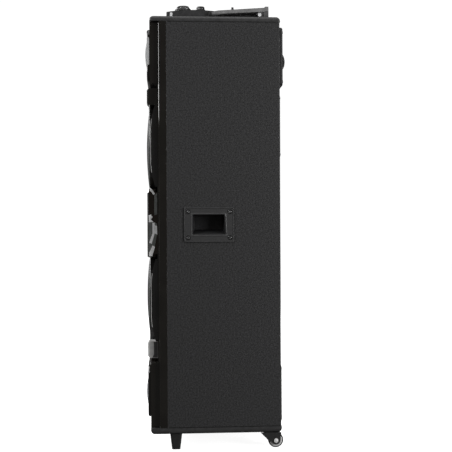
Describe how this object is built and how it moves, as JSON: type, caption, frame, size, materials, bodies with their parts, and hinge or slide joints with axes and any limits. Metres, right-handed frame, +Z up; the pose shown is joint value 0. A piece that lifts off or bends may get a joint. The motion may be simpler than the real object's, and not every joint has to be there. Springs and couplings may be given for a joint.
{
  "type": "party tower loudspeaker",
  "caption": "Tall black floor-standing loudspeaker with paired woofers, a horn, a top control console with a lifting tray, handles, feet and castors.",
  "frame": {"origin": "on the floor, under the middle of the whole loudspeaker's box", "axes": "+Z up, -Y towards the listener (the woofers face -Y), +X to the right of a listener who faces the woofers"},
  "size_m": [0.408, 0.4009, 1.234],
  "materials": {
    "vinyl_cabinet": "pebbled black vinyl over board",
    "inner_board": "plain fibreboard",
    "cover_plastic": "satin moulded",
    "gloss_black": "polished black",
    "grille_metal": "perforated, powder coated",
    "chrome_trim": "bright plated plastic",
    "silver_trim": "silver grey paint",
    "clear_lens": "frosted light bar",
    "horn_plastic": "satin black",
    "basket_metal": "die-cast, painted black",
    "magnet": "plated ferrite and steel",
    "paper_cone": "pressed paper",
    "surround_foam": "coated cloth",
    "handle_plastic": "leather grained",
    "screw_steel": "black zinc",
    "console_plastic": "fine texture",
    "display_glass": "dark window",
    "knob_plastic": "satin with a bright cap",
    "button_plastic": "translucent grey",
    "tray_plastic": "satin dark grey",
    "pin_steel": "turned",
    "panel_plastic": "fine black texture",
    "jack_parts": "nickel and black plastic",
    "heat_sink": "black anodised",
    "electronics": "circuit boards and transformer",
    "foot_plastic": "textured black",
    "hub_plastic": "white moulded",
    "tyre_rubber": "black"
  },
  "bodies": {
    "cabinet": {"amplifier_module": "electronics", "amplifier_plate": "heat_sink", "bottom_board": "inner_board", "bottom_cover": "cover_plastic", "castor_axles": "hub_plastic", "castor_brackets": "foot_plastic", "centre_ornament": "chrome_trim", "control_console": "console_plastic", "corner_trim_lower": "silver_trim", "corner_trim_upper": "gloss_black", "display_window": "display_glass", "front_baffle": "inner_board", "front_fascia": "gloss_black", "front_feet": "foot_plastic", "handle_screws": "screw_steel", "horn_bezel": "gloss_black", "horn_driver": "magnet", "io_jacks": "jack_parts", "io_panel": "panel_plastic", "light_lenses": "clear_lens", "mains_inlet": "panel_plastic", "port_bezel": "gloss_black", "port_tube": "horn_plastic", "rear_board": "vinyl_cabinet", "rear_handle_frame": "handle_plastic", "side_handle_left": "handle_plastic", "side_handle_right": "handle_plastic", "side_panel_left": "vinyl_cabinet", "side_panel_right": "vinyl_cabinet", "top_board": "inner_board", "top_cover": "cover_plastic", "tray_pins": "pin_steel", "tweeter_horn": "horn_plastic", "woofer_basket_lower": "basket_metal", "woofer_basket_upper": "basket_metal", "woofer_bezel_lower": "gloss_black", "woofer_bezel_upper": "gloss_black", "woofer_grille_lower": "grille_metal", "woofer_grille_upper": "grille_metal", "woofer_magnet_lower": "magnet", "woofer_magnet_upper": "magnet", "woofer_surround_lower": "surround_foam", "woofer_surround_upper": "surround_foam"},
    "woofer_upper_cone": {"woofer_cone_upper": "paper_cone"},
    "woofer_lower_cone": {"woofer_cone_lower": "paper_cone"},
    "right_dial": {"dial_right": "knob_plastic"},
    "left_dial": {"dial_left": "knob_plastic"},
    "tone_knob": {"knob_tone": "knob_plastic"},
    "volume_knob": {"knob_volume": "knob_plastic"},
    "microphone_knob": {"knob_microphone": "knob_plastic"},
    "back_button": {"button_back": "button_plastic"},
    "play_button": {"button_play": "button_plastic"},
    "next_button": {"button_next": "button_plastic"},
    "tray": {"tablet_tray": "tray_plastic"},
    "pull_grip": {"rear_handle_grip": "handle_plastic"},
    "rocker": {"power_switch": "button_plastic"},
    "castor_right": {"castor_hub_right": "hub_plastic", "castor_tyre_right": "tyre_rubber"},
    "castor_left": {"castor_hub_left": "hub_plastic", "castor_tyre_left": "tyre_rubber"}
  },
  "joints": [
    {"name": "woofer_upper_travel", "type": "slide", "parent": "cabinet", "child": "woofer_upper_cone", "axis": [0, -1, 0], "range_m": [-0.005, 0.005], "stiffness_N_per_m": 3000},
    {"name": "woofer_lower_travel", "type": "slide", "parent": "cabinet", "child": "woofer_lower_cone", "axis": [0, -1, 0], "range_m": [-0.005, 0.005], "stiffness_N_per_m": 3000},
    {"name": "right_dial_turn", "type": "hinge", "parent": "cabinet", "child": "right_dial", "pos_m": [0.138, -0.094, 1.22], "axis": [0, 0, 1], "range_deg": [-150, 150]},
    {"name": "left_dial_turn", "type": "hinge", "parent": "cabinet", "child": "left_dial", "pos_m": [-0.138, -0.094, 1.22], "axis": [0, 0, 1], "range_deg": [-150, 150]},
    {"name": "volume_turn", "type": "hinge", "parent": "cabinet", "child": "volume_knob", "pos_m": [0.138, -0.045, 1.22], "axis": [0, 0, 1], "range_deg": [-150, 150]},
    {"name": "microphone_turn", "type": "hinge", "parent": "cabinet", "child": "microphone_knob", "pos_m": [-0.138, -0.045, 1.22], "axis": [0, 0, 1], "range_deg": [-150, 150]},
    {"name": "tone_turn", "type": "hinge", "parent": "cabinet", "child": "tone_knob", "pos_m": [0.082, -0.0465, 1.22], "axis": [0, 0, 1], "range_deg": [-150, 150]},
    {"name": "back_press", "type": "slide", "parent": "cabinet", "child": "back_button", "axis": [0, 0, -1], "range_m": [0, 0.0015], "stiffness_N_per_m": 400},
    {"name": "play_press", "type": "slide", "parent": "cabinet", "child": "play_button", "axis": [0, 0, -1], "range_m": [0, 0.0015], "stiffness_N_per_m": 400},
    {"name": "next_press", "type": "slide", "parent": "cabinet", "child": "next_button", "axis": [0, 0, -1], "range_m": [0, 0.0015], "stiffness_N_per_m": 400},
    {"name": "tray_lift", "type": "hinge", "parent": "cabinet", "child": "tray", "pos_m": [0, -0.0185, 1.206], "axis": [1, 0, 0], "range_deg": [0, 60]},
    {"name": "grip_swing", "type": "hinge", "parent": "cabinet", "child": "pull_grip", "pos_m": [0, 0.1795, 1.12], "axis": [1, 0, 0], "range_deg": [0, 75]},
    {"name": "rocker_tilt", "type": "hinge", "parent": "cabinet", "child": "rocker", "pos_m": [0.05, 0.1735, 0.122], "axis": [1, 0, 0], "range_deg": [-8, 8]},
    {"name": "castor_right_roll", "type": "hinge", "parent": "cabinet", "child": "castor_right", "pos_m": [0.181, 0.157, 0.021], "axis": [1, 0, 0], "continuous": true},
    {"name": "castor_left_roll", "type": "hinge", "parent": "cabinet", "child": "castor_left", "pos_m": [-0.181, 0.157, 0.021], "axis": [1, 0, 0], "continuous": true}
  ]
}
